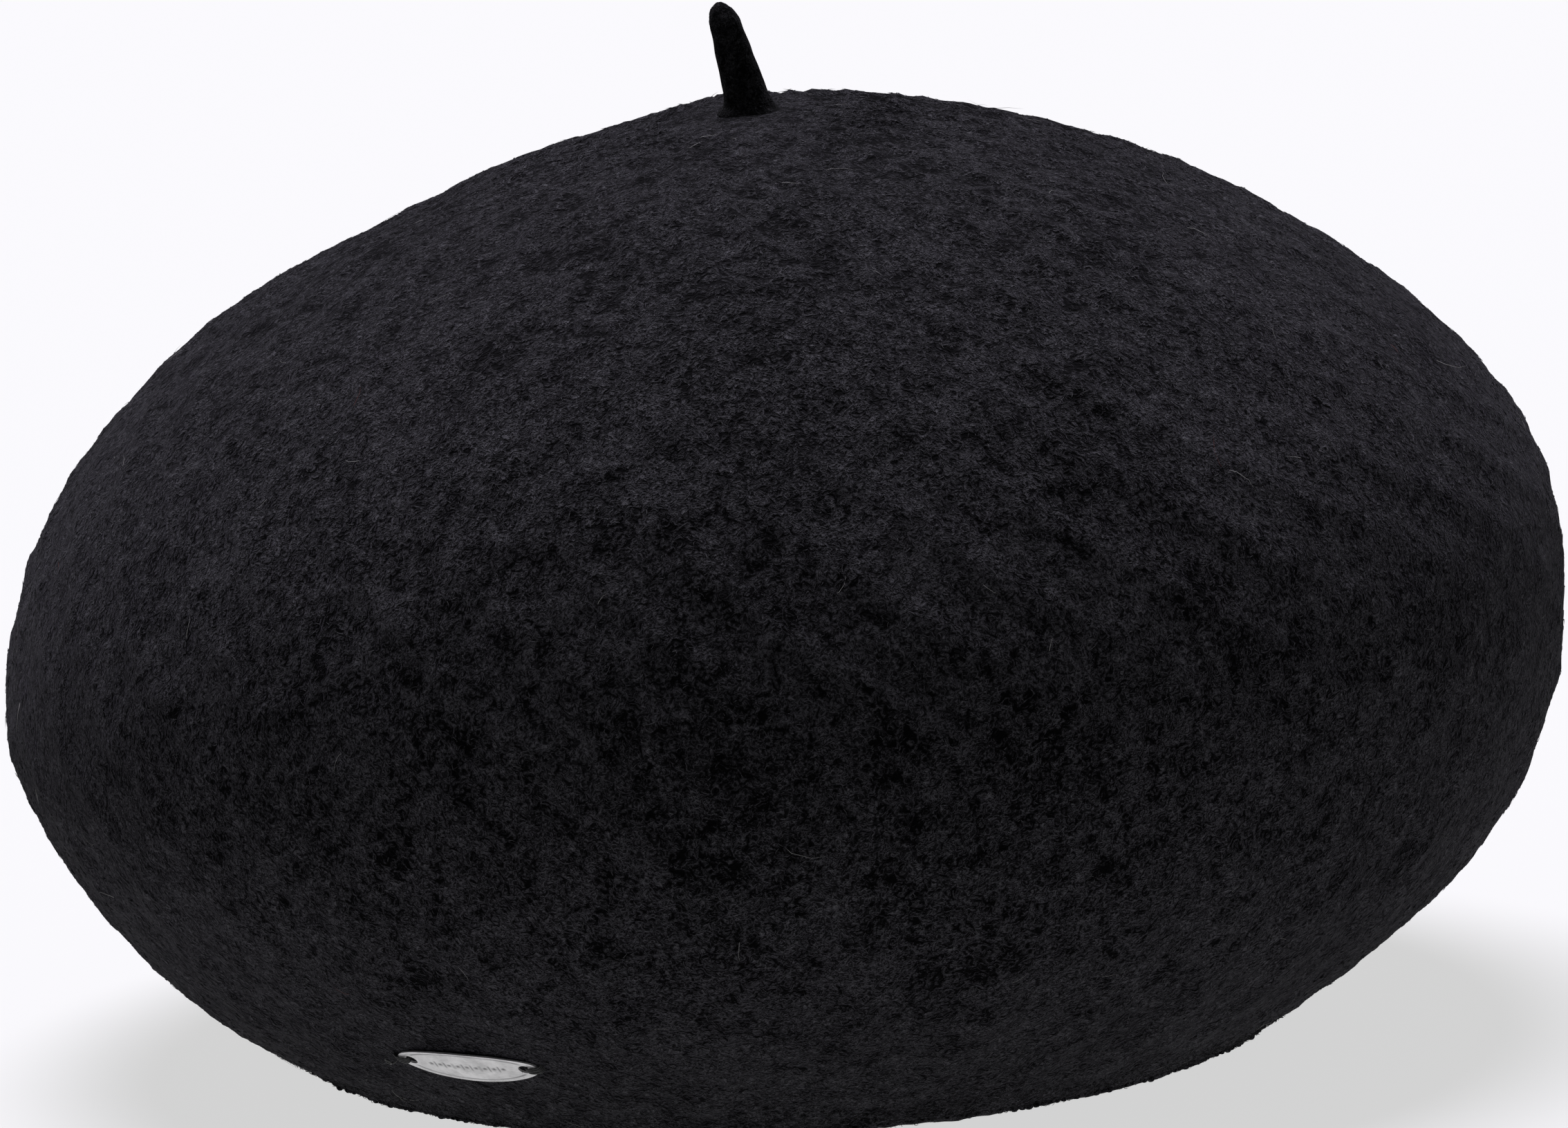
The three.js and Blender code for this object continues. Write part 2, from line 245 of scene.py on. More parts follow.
def wool_material(name, dark, light, tuft_size, bump, sheen, tint):
    material, tree, surface = blank_material(name)
    nap = add_group(tree, WOOL_NAP, Tuft_Size=tuft_size, Dark=(*dark, 1.0), Light=(*light, 1.0))
    link(tree, nap.outputs["Color"], surface.inputs["Base Color"])
    link(tree, nap.outputs["Roughness"], surface.inputs["Roughness"])
    relief_on(tree, surface, nap.outputs["Height"], bump, 1.0)
    surface.inputs["Specular IOR Level"].default_value = 0.03
    surface.inputs["Sheen Weight"].default_value = sheen
    surface.inputs["Sheen Roughness"].default_value = 0.38
    surface.inputs["Sheen Tint"].default_value = (*tint, 1.0)
    return material


# The dark felt shade is partly the wool's black and partly painted shade for the pits between tufts.
FELT_SHADES = ((0.0006, 0.0006, 0.0007), (0.07, 0.069, 0.0755))
FELT = wool_material("fulled_wool_felt", *FELT_SHADES, 1.0, 1.5 * MM, 0.055, (0.88, 0.83, 1.0))


# ---------------------------------------------------------------- mesh helpers
def deselect():
    if bpy.context.object and bpy.context.object.mode != "OBJECT":
        bpy.ops.object.mode_set(mode="OBJECT")
    bpy.ops.object.select_all(action="DESELECT")


def activate(piece):
    deselect()
    piece.select_set(True)
    bpy.context.view_layer.objects.active = piece


def new_piece(name, mesh):
    piece = bpy.data.objects.new(name, mesh)
    bpy.context.scene.collection.objects.link(piece)
    return piece


def merged_copy(node, name):
    """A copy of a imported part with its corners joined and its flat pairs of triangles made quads."""
    piece = new_piece(name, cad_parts[node].data.copy())
    activate(piece)
    bpy.ops.object.mode_set(mode="EDIT")
    bpy.ops.mesh.select_all(action="SELECT")
    bpy.ops.mesh.remove_doubles(threshold=0.00002)
    bpy.ops.mesh.tris_convert_to_quads(face_threshold=math.radians(60), shape_threshold=math.radians(60))
    bpy.ops.object.mode_set(mode="OBJECT")
    return piece


def face_outwards(piece):
    activate(piece)
    bpy.ops.object.mode_set(mode="EDIT")
    bpy.ops.mesh.select_all(action="SELECT")
    bpy.ops.mesh.normals_make_consistent(inside=False)
    bpy.ops.object.mode_set(mode="OBJECT")


def round_off(piece, levels):
    smooth = piece.modifiers.new("round", "SUBSURF")
    smooth.levels = levels
    smooth.render_levels = levels
    activate(piece)
    bpy.ops.object.modifier_apply(modifier=smooth.name)


def finish_piece(piece, material, replaced=()):
    piece.data.materials.clear()
    piece.data.materials.append(material)
    piece.data.shade_smooth()
    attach(piece, BODY)
    if replaced:
        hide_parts(*replaced)
    return piece


def corners_of(mesh):
    data = np.empty(3 * len(mesh.vertices), dtype=np.float32)
    mesh.vertices.foreach_get("co", data)
    return data.reshape(-1, 3).astype(float)


def normals_of(mesh):
    data = np.empty(3 * len(mesh.vertices), dtype=np.float32)
    mesh.vertex_normals.foreach_get("vector", data)
    return data.reshape(-1, 3).astype(float)


def set_corners(mesh, points):
    mesh.vertices.foreach_set("co", points.astype(np.float32).ravel())
    mesh.update()


def noise_at(points, size, seed):
    """Smooth noise from -1 to 1 at each point, with bumps about size across."""
    shift = Vector((seed * 7.13, seed * 3.71, seed * 5.37))
    return np.array([noise.noise(Vector(p) / size + shift) for p in points])


def fade(values, low, high):
    part = np.clip((values - low) / (high - low), 0.0, 1.0)
    return part * part * (3.0 - 2.0 * part)


# ---------------------------------------------------------------- felt body
FELT_HIGH = Vector(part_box("felt_body")[1])
PLATE_LOW, PLATE_HIGH = (Vector(v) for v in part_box("name_plate"))
PLATE_CENTRE = np.array((PLATE_LOW + PLATE_HIGH) / 2)
STEM_X = float(sum(v[0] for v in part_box("stem_thread")) / 2)
MIDDLE = np.array([0.0, 0.0, 0.45 * FELT_HIGH.z])
NET_CELL = 16 * MM
CROWN_PATCH = 28 * MM


def looks_out(places, normals):
    """True wherever a normal looks away from the middle of the hat."""
    return np.sum(normals * (places - MIDDLE), axis=1) > 0


def sort_faces(mesh):
    """Which faces are on the outside, and which are close round the stem."""
    centres = np.array([face.center for face in mesh.polygons])
    outer = looks_out(centres, np.array([face.normal for face in mesh.polygons]))
    spread = np.hypot(centres[:, 0] - STEM_X, centres[:, 1])
    return outer, (spread < CROWN_PATCH) & (centres[:, 2] > 0.1)


def edit_faces(piece, chosen):
    """Opens a piece in edit mode with only the chosen faces selected."""
    activate(piece)
    bpy.ops.object.mode_set(mode="EDIT")
    bpy.ops.mesh.select_mode(type="FACE")
    bpy.ops.mesh.select_all(action="DESELECT")
    bpy.ops.object.mode_set(mode="OBJECT")
    mesh = piece.data
    mesh.polygons.foreach_set("select", chosen.tolist())
    mesh.vertices.foreach_set("select", [False] * len(mesh.vertices))
    mesh.edges.foreach_set("select", [False] * len(mesh.edges))
    bpy.ops.object.mode_set(mode="EDIT")


def split_chosen(piece, chosen, cuts, smoothing):
    edit_faces(piece, chosen)
    bpy.ops.mesh.subdivide(number_cuts=cuts)
    bpy.ops.mesh.vertices_smooth(factor=0.5, repeat=smoothing)
    bpy.ops.object.mode_set(mode="OBJECT")


def net_relief(points):
    """Soft ridges where the fulled knit pulls into a net: two sets of slanting lines round the hat."""
    angle = np.arctan2(points[:, 1], points[:, 0])
    radius = np.hypot(points[:, 0], points[:, 1])
    climb = np.hypot(FELT_HIGH.x - radius * 0.55, points[:, 2])
    ridges = np.zeros(len(points))
    for lean, share, seed in ((1.0, 1.0, 1), (-1.0, 0.45, 2)):
        along = lean * angle * FELT_HIGH.x * 0.62 + climb
        wave = 0.5 + 0.5 * np.cos(2 * math.pi * along / NET_CELL + 1.2 * noise_at(points, 40 * MM, seed))
        ridges += share * wave**3 * (0.55 + 0.45 * noise_at(points, 30 * MM, seed + 4))
    return ridges


def felt_relief(points):
    """How far each outer point stands out from the plain shape, in metres."""
    lumps = 0.7 * noise_at(points, 38 * MM, 3) + 0.35 * noise_at(points, 17 * MM, 5)
    tufts = 0.25 * noise_at(points, 5.5 * MM, 7) + 0.3 * noise_at(points, 2.6 * MM, 9)
    net = 0.9 * net_relief(points)
    stem_distance = np.hypot(points[:, 0] - STEM_X, points[:, 1])
    top = points[:, 2] > 0.7 * FELT_HIGH.z
    near_stem = np.where(top, fade(stem_distance, 7 * MM, 24 * MM), 1.0)
    plate_distance = np.linalg.norm((points - PLATE_CENTRE) * np.array([1.0, 1.0, 1.6]), axis=1)
    near_plate = fade(plate_distance, 16 * MM, 26 * MM)
    rim = fade(points[:, 2], 0.0, 12 * MM)
    pressed = -0.1 * (1.0 - near_plate)
    broad = near_stem * rim * (lumps + net)
    return MM * (near_plate * (broad + (0.3 + 0.7 * near_stem) * tufts) + pressed)


def build_felt_shell():
    shell = merged_copy("felt_body", "felt_shell")
    round_off(shell, 1)
    outer, by_stem = sort_faces(shell.data)
    split_chosen(shell, outer & by_stem, 1, 2)
    outer, by_stem = sort_faces(shell.data)
    split_chosen(shell, outer & ~by_stem, 3, 3)

    points, normals = corners_of(shell.data), normals_of(shell.data)
    facing = looks_out(points, normals)
    moved = np.zeros(len(points))
    moved[facing] = felt_relief(points[facing])
    moved[~facing] = 0.12 * MM * noise_at(points[~facing], 6 * MM, 11)
    points += normals * moved[:, None]
    points[:, 2] = np.maximum(points[:, 2], 0.0)
    set_corners(shell.data, points)
    return finish_piece(shell, FELT, ["felt_body"])


felt_shell = build_felt_shell()


# ---------------------------------------------------------------- wool fibres
def tangents(normals):
    """Two directions along the surface at each normal."""
    helper = np.where(np.abs(normals[:, 2:3]) < 0.9, [[0.0, 0.0, 1.0]], [[1.0, 0.0, 0.0]])
    first = np.cross(helper, normals)
    first /= np.linalg.norm(first, axis=1)[:, None]
    return first, np.cross(normals, first)


def scatter(mesh, count, wanted):
    """Random points on the faces that wanted(centres, normals) picks, spread by area, with their normals."""
    mesh.calc_loop_triangles()
    triangles = np.empty(3 * len(mesh.loop_triangles), dtype=np.int32)
    mesh.loop_triangles.foreach_get("vertices", triangles)
    triangles = triangles.reshape(-1, 3)
    corners = corners_of(mesh)
    normals = normals_of(mesh)
    a, b, c = (corners[triangles[:, k]] for k in range(3))
    cross = np.cross(b - a, c - a)
    area = np.linalg.norm(cross, axis=1) / 2
    flat = cross / np.maximum(2 * area[:, None], 1e-12)
    share = area * wanted((a + b + c) / 3, flat)
    picked = RNG.choice(len(triangles), size=count, p=share / share.sum())
    u, v = RNG.random(count), RNG.random(count)
    over = u + v > 1
    u[over], v[over] = 1 - u[over], 1 - v[over]
    u, v = u[:, None], v[:, None]
    t = triangles[picked]
    roots = corners[t[:, 0]] * (1 - u - v) + corners[t[:, 1]] * u + corners[t[:, 2]] * v
    facing = normals[t].mean(axis=1)
    return roots, facing / np.linalg.norm(facing, axis=1)[:, None]


def grow_fibres(name, roots, normals, length, radius, lift, curl, material):
    """One mesh of curved tapering fibres: each leaves its root, bends over and lies along the felt."""
    count = len(roots)
    first, second = tangents(normals)
    turn = RNG.random(count) * 2 * math.pi
    ahead = first * np.cos(turn)[:, None] + second * np.sin(turn)[:, None]
    aside = np.cross(normals, ahead)
    long = (length[0] + (length[1] - length[0]) * RNG.random(count) ** 1.6)[:, None]
    rise = (lift[0] + (lift[1] - lift[0]) * RNG.random(count))[:, None]
    bend = (curl * RNG.normal(size=count))[:, None]
    thick = radius * (0.75 + 0.5 * RNG.random(count))
    path = [
        roots - normals * 0.15 * MM,
        roots + long * (0.34 * ahead + 0.55 * rise * normals + 0.12 * bend * aside),
        roots + long * (0.72 * ahead + 0.9 * rise * normals + 0.5 * bend * aside),
        roots + long * (0.95 * ahead + (0.8 * rise) * normals + 1.1 * bend * aside),
    ]
    clear = np.min([place[:, 2] for place in path], axis=0) > 0.2 * MM
    path = [place[clear] for place in path]
    normals, thick, count = normals[clear], thick[clear], int(clear.sum())
    sides, per_fibre = 3, 10
    points = np.empty((count, per_fibre, 3))
    for ring in range(3):
        along = path[ring + 1] - path[max(ring - 1, 0)]
        along /= np.linalg.norm(along, axis=1)[:, None]
        across = np.cross(along, normals + 0.01)
        across /= np.linalg.norm(across, axis=1)[:, None]
        other = np.cross(along, across)
        size = (thick * (1.0, 0.9, 0.6)[ring])[:, None]
        for side in range(sides):
            angle = 2 * math.pi * side / sides
            off = size * (across * math.cos(angle) + other * math.sin(angle))
            points[:, ring * sides + side] = path[ring] + off
    points[:, per_fibre - 1] = path[3]

    faces = [(0, 2, 1)]
    for ring in range(2):
        for side in range(sides):
            low, high = ring * sides + side, ring * sides + (side + 1) % sides
            faces += [(low, high, high + sides), (low, high + sides, low + sides)]
    for side in range(sides):
        faces.append((2 * sides + side, 2 * sides + (side + 1) % sides, 3 * sides))
    loops = (np.array(faces)[None] + per_fibre * np.arange(count)[:, None, None]).reshape(-1)

    mesh = bpy.data.meshes.new(name)
    mesh.vertices.add(count * per_fibre)
    mesh.vertices.foreach_set("co", points.astype(np.float32).ravel())
    mesh.loops.add(len(loops))
    mesh.loops.foreach_set("vertex_index", loops.astype(np.int32))
    mesh.polygons.add(len(loops) // 3)
    mesh.polygons.foreach_set("loop_start", np.arange(0, len(loops), 3, dtype=np.int32))
    mesh.update(calc_edges=True)
    mesh.validate()
    return finish_piece(new_piece(name, mesh), material)


def fibre_material(name, colour, sheen):
    material, tree, surface = blank_material(name)
    surface.inputs["Base Color"].default_value = (*colour, 1.0)
    surface.inputs["Roughness"].default_value = 0.75
    surface.inputs["Specular IOR Level"].default_value = 0.06
    surface.inputs["Sheen Weight"].default_value = sheen
    surface.inputs["Sheen Roughness"].default_value = 0.4
    return material


BLACK_WOOL = fibre_material("black_wool_fibre", (0.0012, 0.0012, 0.0014), 0.0)
DARK_WOOL = fibre_material("dark_wool_fibre", (0.012, 0.0118, 0.013), 0.03)
GREY_WOOL = fibre_material("grey_wool_fibre", (0.038, 0.0375, 0.041), 0.06)
PALE_HAIR = fibre_material("pale_stray_hair", (0.24, 0.237, 0.23), 0.03)
RED_HAIR = fibre_material("russet_stray_hair", (0.11, 0.04, 0.034), 0.03)

NAP_SHADES = (BLACK_WOOL, GREY_WOOL, DARK_WOOL, BLACK_WOOL, GREY_WOOL, DARK_WOOL)
NAP_PER_PART = 12000
RIM_FIBRES, STRAY_COUNT, RUSSET_COUNT = 9000, 120, 8
PLATE_MARGIN = 1.5 * MM


def clear_of_plate(roots, normals, margin):
    half = np.array((PLATE_HIGH - PLATE_LOW) / 2) + margin
    inside = np.all(np.abs(roots - PLATE_CENTRE) < half, axis=1)
    return roots[~inside], normals[~inside]


def grow_nap():
    for part, material in enumerate(NAP_SHADES):
        roots, normals = clear_of_plate(*scatter(felt_shell.data, NAP_PER_PART, looks_out), PLATE_MARGIN)
        name = f"wool_nap_{part + 1}"
        grow_fibres(name, roots, normals, (0.5 * MM, 1.35 * MM), 0.08 * MM, (-0.02, 0.1), 0.9, material)


def grow_rim_fuzz():
    def at_rim(centres, normals):
        return looks_out(centres, normals) * (centres[:, 2] < 5 * MM)

    roots, normals = clear_of_plate(*scatter(felt_shell.data, RIM_FIBRES, at_rim), PLATE_MARGIN)
    grow_fibres("rim_fuzz", roots, normals, (0.4 * MM, 1.0 * MM), 0.07 * MM, (0.2, 0.6), 0.6, DARK_WOOL)


def grow_stray_hairs():
    roots, normals = clear_of_plate(*scatter(felt_shell.data, STRAY_COUNT, looks_out), 4 * MM)
    grow_fibres("stray_hairs", roots, normals, (2.5 * MM, 7 * MM), 0.042 * MM, (0.03, 0.12), 0.8, PALE_HAIR)
    roots, normals = scatter(felt_shell.data, RUSSET_COUNT, looks_out)
    grow_fibres("russet_hairs", roots, normals, (3 * MM, 5 * MM), 0.035 * MM, (0.03, 0.14), 0.7, RED_HAIR)


grow_nap()
grow_rim_fuzz()
grow_stray_hairs()


# ---------------------------------------------------------------- rim
HEM_LOBES = 400
BAND_LOW, BAND_HIGH = (Vector(v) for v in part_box("headband"))
RIM_X = (BAND_LOW.x + BAND_HIGH.x) / 2


def add_hem_lobes():
    """The knit's last row shows along the rim as small uneven felted loops."""
    tree = BVHTree.FromObject(felt_shell, bpy.context.evaluated_depsgraph_get())
    deselect()
    bpy.ops.mesh.primitive_ico_sphere_add(subdivisions=1, radius=1.0)
    model = bpy.context.object
    round_off(model, 1)
    shape = corners_of(model.data)
    faces = [tuple(face.vertices) for face in model.data.polygons]
    points, polygons = [], []
    for lobe in range(HEM_LOBES):
        angle = 2 * math.pi * (lobe + 0.35 * RNG.random()) / HEM_LOBES
        out = Vector((math.cos(angle), math.sin(angle), 0.0))
        start = Vector((RIM_X, 0.0, 1.3 * MM)) + out * 0.2
        hit = tree.ray_cast(start, -out)[0]
        size = np.array([0.95, 0.7, 0.75]) * MM * (0.75 + 0.5 * RNG.random())
        centre = hit - out * (0.25 + 0.25 * RNG.random()) * MM
        centre.z = (0.95 + 0.5 * RNG.random()) * MM
        turn = np.array(Matrix.Rotation(angle + math.pi / 2 + 0.5 * (RNG.random() - 0.5), 3, "Z"))
        first = len(points) * len(shape)
        points.append((shape * size) @ turn.T + np.array(centre))
        polygons += [tuple(first + corner for corner in face) for face in faces]
    bpy.data.objects.remove(model)
    mesh = bpy.data.meshes.new("hem_lobes")
    mesh.from_pydata(np.concatenate(points).tolist(), [], polygons)
    finish_piece(new_piece("hem_lobes", mesh), FELT)


add_hem_lobes()


# ---------------------------------------------------------------- stem
# The stem's felt uses the same nap, so the dark of its pits is likewise partly painted shade.
STEM_SHADES = ((0.0008, 0.0008, 0.0009), (0.03, 0.03, 0.032))
STEM_FELT = wool_material("rolled_stem_felt", *STEM_SHADES, 1.5, 0.5 * MM, 0.012, (0.9, 0.9, 1.0))
STEM_LENGTH = 19.2
STEM_LEAN = math.radians(13.2)
STEM_ROOT = ((-8.2, 2.45), (-5.0, 2.45), (-2.4, 2.5), (-1.7, 3.4), (-1.3, 6.0))


def stem_radius(height):
    """A slow taper from a foot that runs out into the crown to a blunt tip, in millimetres."""
    shaft = 4.1 - 0.09 * max(height - 1.5, 0.0)
    foot = 1.55 * math.exp(-max(height + 0.5, 0.0) / 0.95)
    past = max(height - 0.78 * STEM_LENGTH, 0.0) / (0.22 * STEM_LENGTH)
    return (shaft + foot) * max(1.0 - past**2.3, 0.0) ** 0.55


def build_stem():
    heights = list(np.linspace(-0.8, 2.4, 9)) + list(np.linspace(3.2, STEM_LENGTH - 0.12, 20))
    rings = [*STEM_ROOT, *((h, stem_radius(h)) for h in heights)]
    base = FELT_HIGH.z
    deselect()
    foot_height, foot_radius = rings[0]
    foot = (STEM_X, 0.0, base + foot_height * MM)
    bpy.ops.mesh.primitive_circle_add(vertices=40, radius=foot_radius * MM, fill_type="NGON", location=foot)
    stem = bpy.context.object
    stem.name = stem.data.name = "stem_felt"
    bpy.ops.object.transform_apply(location=True, rotation=True, scale=True)
    bpy.ops.object.mode_set(mode="EDIT")
    bpy.ops.mesh.select_all(action="SELECT")
    last_x, (last_height, last_radius) = STEM_X, rings[0]
    for height, radius in rings[1:]:
        x = STEM_X - math.tan(STEM_LEAN) * max(height - 0.7, 0.0) * MM
        step = (x - last_x, 0.0, (height - last_height) * MM)
        bpy.ops.mesh.extrude_region_move(TRANSFORM_OT_translate={"value": step})
        grow = radius / last_radius
        bpy.ops.transform.resize(value=(grow, grow, 1.0), center_override=(x, 0.0, base + height * MM))
        last_x, last_height, last_radius = x, height, radius
    bpy.ops.mesh.poke()
    bpy.ops.object.mode_set(mode="OBJECT")
    face_outwards(stem)
    round_off(stem, 1)
    points, normals = corners_of(stem.data), normals_of(stem.data)
    above = fade(points[:, 2], base - 0.5 * MM, base + 3 * MM)
    grain = 0.10 * noise_at(points * [1.0, 1.0, 0.45], 1.1 * MM, 21) + 0.16 * noise_at(points, 3.2 * MM, 22)
    tip = fade(points[:, 2], base + 13 * MM, base + 17 * MM)
    grain += tip * 0.14 * noise_at(points, 0.8 * MM, 23)
    points += normals * (MM * above * grain)[:, None]
    set_corners(stem.data, points)
    finish_piece(stem, STEM_FELT, ["stem"])


build_stem()


# ---------------------------------------------------------------- thread
def make_thread_twist():
    """Two plies laid round each other, along the first UV axis."""
    outputs = [("Height", FLOAT), ("Shade", FLOAT)]
    group, given, result = new_group("thread_twist", [("Pitch", FLOAT, 900.0)], outputs)
    along, around = surface_map(group)
    turns = combined(group, "MULTIPLY", along, given.outputs["Pitch"])
    wave = combined(group, "FRACT", combined(group, "MULTIPLY_ADD", around, 2.0, turns))
    ridge = combined(group, "PINGPONG", wave, 0.5)
    link(group, ridge, result.inputs["Height"])
    # The same ridge sets the colour: darker in the groove between the plies as painted shade, lighter on each
    # ply's crest.
    link(group, ridge, result.inputs["Shade"])
    return group


def thread_material(name, dark, light, pitch):
    material, tree, surface = blank_material(name)
    twist = add_group(tree, make_thread_twist(), Pitch=pitch)
    # Painted shade: the thread is coloured darker in the grooves between its plies.
    colour = blended(tree, twist.outputs["Shade"], (*dark, 1.0), (*light, 1.0))
    link(tree, colour, surface.inputs["Base Color"])
    relief_on(tree, surface, twist.outputs["Height"], 0.12 * MM, 0.8)
    surface.inputs["Roughness"].default_value = 0.6
    surface.inputs["Sheen Weight"].default_value = 0.03
    return material


THREAD = thread_material("black_sewing_thread", (0.002, 0.002, 0.002), (0.012, 0.012, 0.013), 1300.0)


def tube_rows(route, radius, sides, closed):
    """Rings of points round a route, and the distance along it at each ring."""
    route = np.array(route, dtype=float)
    ahead = np.roll(route, -1, axis=0) - np.roll(route, 1, axis=0)
    if not closed:
        ahead[0] = route[1] - route[0]
        ahead[-1] = route[-1] - route[-2]
    ahead /= np.linalg.norm(ahead, axis=1)[:, None]
    side = np.cross(ahead[0], [0.31, 0.17, 0.93])
    rings, distance = [], [0.0]
    for k, place in enumerate(route):
        side = side - ahead[k] * np.dot(side, ahead[k])
        side /= np.linalg.norm(side)
        other = np.cross(ahead[k], side)
        angles = 2 * math.pi * np.arange(sides) / sides
        rings.append(place + radius * (np.cos(angles)[:, None] * side + np.sin(angles)[:, None] * other))
        if k:
            distance.append(distance[-1] + float(np.linalg.norm(place - route[k - 1])))
    return rings, distance


def thread_piece(name, routes, radius, node, sides=8, closed=False):
    """Threads of one piece, each a closed tube along its route, with UVs in metres along and turns around."""
    points, faces, coordinates = [], [], []
    for route in routes:
        rings, distance = tube_rows(route, radius, sides, closed)
        first = len(points)
        for ring in rings:
            points += ring.tolist()
        count = len(rings)
        for k in range(count if closed else count - 1):
            after = (k + 1) % count
            far = distance[after] if after else distance[k] + 0.5 * MM
            here, there = first + k * sides, first + after * sides
            for s in range(sides):
                t = (s + 1) % sides
                faces.append((here + s, here + t, there + t, there + s))
                low, high = s / sides, (s + 1) / sides
                coordinates += [(distance[k], low), (distance[k], high), (far, high), (far, low)]
        if not closed:
            faces.append(tuple(first + s for s in reversed(range(sides))))
            faces.append(tuple(first + (count - 1) * sides + s for s in range(sides)))
            coordinates += [(0.0, 0.0)] * sides + [(distance[-1], 0.0)] * sides
    mesh = bpy.data.meshes.new(name)
    mesh.from_pydata(points, [], faces)
    layer = mesh.uv_layers.new(name="UVMap")
    layer.data.foreach_set("uv", np.array(coordinates, dtype=np.float32).ravel())
    finish_piece(new_piece(name, mesh), THREAD, [node])


def smooth_route(marks, steps):
    """A Catmull-Rom line through a few marks."""
    marks = [np.array(m, dtype=float) for m in marks]
    marks = [2 * marks[0] - marks[1], *marks, 2 * marks[-1] - marks[-2]]
    route = []
    for k in range(1, len(marks) - 2):
        a, b, c, d = marks[k - 1 : k + 3]
        for step in range(steps):
            t = step / steps
            bend, twist = 2 * a - 5 * b + 4 * c - d, 3 * b - a - 3 * c + d
            route.append(0.5 * (2 * b + (c - a) * t + bend * t**2 + twist * t**3))
    route.append(marks[-2])
    return route


# ---------------------------------------------------------------- plate
def thicken(piece, thickness, offset=0.0):
    """Gives a sheet its thickness: to both sides, or with offset -1 behind its face."""
    wall = piece.modifiers.new("thickness", "SOLIDIFY")
    wall.thickness = thickness
    wall.offset = offset
    activate(piece)
    bpy.ops.object.modifier_apply(modifier=wall.name)


def plate_frame():
    """The plate's middle, and its directions along, up and out, from its own corners."""
    points = corners_of(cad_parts["name_plate"].data)
    middle = points.mean(axis=0)
    along, up, _ = np.linalg.svd(points - middle, full_matrices=False)[2]
    along, up = along * math.copysign(1.0, along[0]), up * math.copysign(1.0, up[2])
    return middle, along, up, np.cross(along, up)


PLATE_MIDDLE, PLATE_ALONG, PLATE_UP, PLATE_OUT = plate_frame()
PLATE_HALF = (14.0, 4.5)
HOLE_REACH = 11.4
HOLE_RADIUS = 1.2
PLATE_WALL = 0.4
PLATE_REST = -0.2
PLATE_BOW = 105 * MM
CUT_LINE_DARK = (0.10, 0.10, 0.105, 1.0)


def make_satin_metal():
    """Fine brushing along the plate, with small dents and dulled patches."""
    group, given, result = new_group(
        "satin_metal",
        [("Light", COLOUR, (0.6, 0.6, 0.6, 1.0)), ("Dark", COLOUR, (0.3, 0.3, 0.3, 1.0))],
        [("Color", COLOUR), ("Roughness", FLOAT), ("Height", FLOAT)],
    )
    place = group.nodes.new("ShaderNodeTexCoord")
    stretch = group.nodes.new("ShaderNodeMapping")
    stretch.inputs["Rotation"].default_value = (0.0, 0.0, -math.atan2(PLATE_ALONG[1], PLATE_ALONG[0]))
    stretch.inputs["Scale"].default_value = (0.08, 1.0, 1.0)
    link(group, place.outputs["Object"], stretch.inputs["Vector"])
    brushing = add_node(group, "ShaderNodeTexNoise", Scale=5200.0, Detail=2.0)
    dull = add_node(group, "ShaderNodeTexNoise", Scale=420.0, Detail=3.0)
    link(group, stretch.outputs["Vector"], brushing.inputs["Vector"])
    link(group, place.outputs["Object"], dull.inputs["Vector"])
    both = combined(group, "MULTIPLY_ADD", brushing.outputs["Fac"], 0.6, dull.outputs["Fac"])
    tone = ranged(group, both, 0.55, 1.05)
    link(group, blended(group, tone, given.outputs["Dark"], given.outputs["Light"]), result.inputs["Color"])
    link(group, ranged(group, tone, 0.0, 1.0, 0.5, 0.32), result.inputs["Roughness"])
    link(group, both, result.inputs["Height"])
    return group


def satin_plate_material():
    material, tree, surface = blank_material("satin_plate_metal")
    satin = add_group(tree, make_satin_metal(), Light=(0.8, 0.79, 0.8, 1.0), Dark=(0.56, 0.555, 0.56, 1.0))
    engraved = add_node(tree, "ShaderNodeAttribute", attribute_name="engraved")
    # The colour is darkened in the engraved cuts.
    depth = combined(tree, "MULTIPLY", engraved.outputs["Fac"], 0.85)
    darkened_cuts = blended(tree, depth, satin.outputs["Color"], CUT_LINE_DARK)
    link(tree, darkened_cuts, surface.inputs["Base Color"])
    link(tree, satin.outputs["Roughness"], surface.inputs["Roughness"])
    relief_on(tree, surface, satin.outputs["Height"], 0.02 * MM, 0.35)
    surface.inputs["Metallic"].default_value = 0.6
    return material


def on_plate(along, up, out):
    """A point by its place on the plate in millimetres; the plate bends back with the felt."""
    bow = 0.5 * (along * MM) ** 2 / PLATE_BOW - 0.5 * (8 * MM) ** 2 / PLATE_BOW
    return PLATE_MIDDLE + PLATE_ALONG * along * MM + PLATE_UP * up * MM + PLATE_OUT * (out * MM - bow)


def from_hole(along, up):
    """How far a place on the plate is from the middle of the nearer hole."""
    return np.minimum(np.hypot(along - HOLE_REACH, up), np.hypot(along + HOLE_REACH, up))


def engraving(along, up):
    """How deep the plate is cut, from 0 to 1: a line inside the edge and a plain row of beads and bars."""
    reach = np.hypot(along / PLATE_HALF[0], up / PLATE_HALF[1])
    cut = np.exp(-(((reach - 0.86) / 0.022) ** 2))
    for bead in np.linspace(-7.2, 7.2, 9):
        cut = np.maximum(cut, np.exp(-(((along - bead) ** 2 + up**2) / 0.42**2) ** 2))
    for bar in np.linspace(-6.3, 6.3, 8):
        inside = np.exp(-((up / 0.95) ** 6)) * np.exp(-(((along - bar) / 0.16) ** 2))
        cut = np.maximum(cut, inside)
    return cut * fade(from_hole(along, up), HOLE_RADIUS + 0.2, HOLE_RADIUS + 0.9)


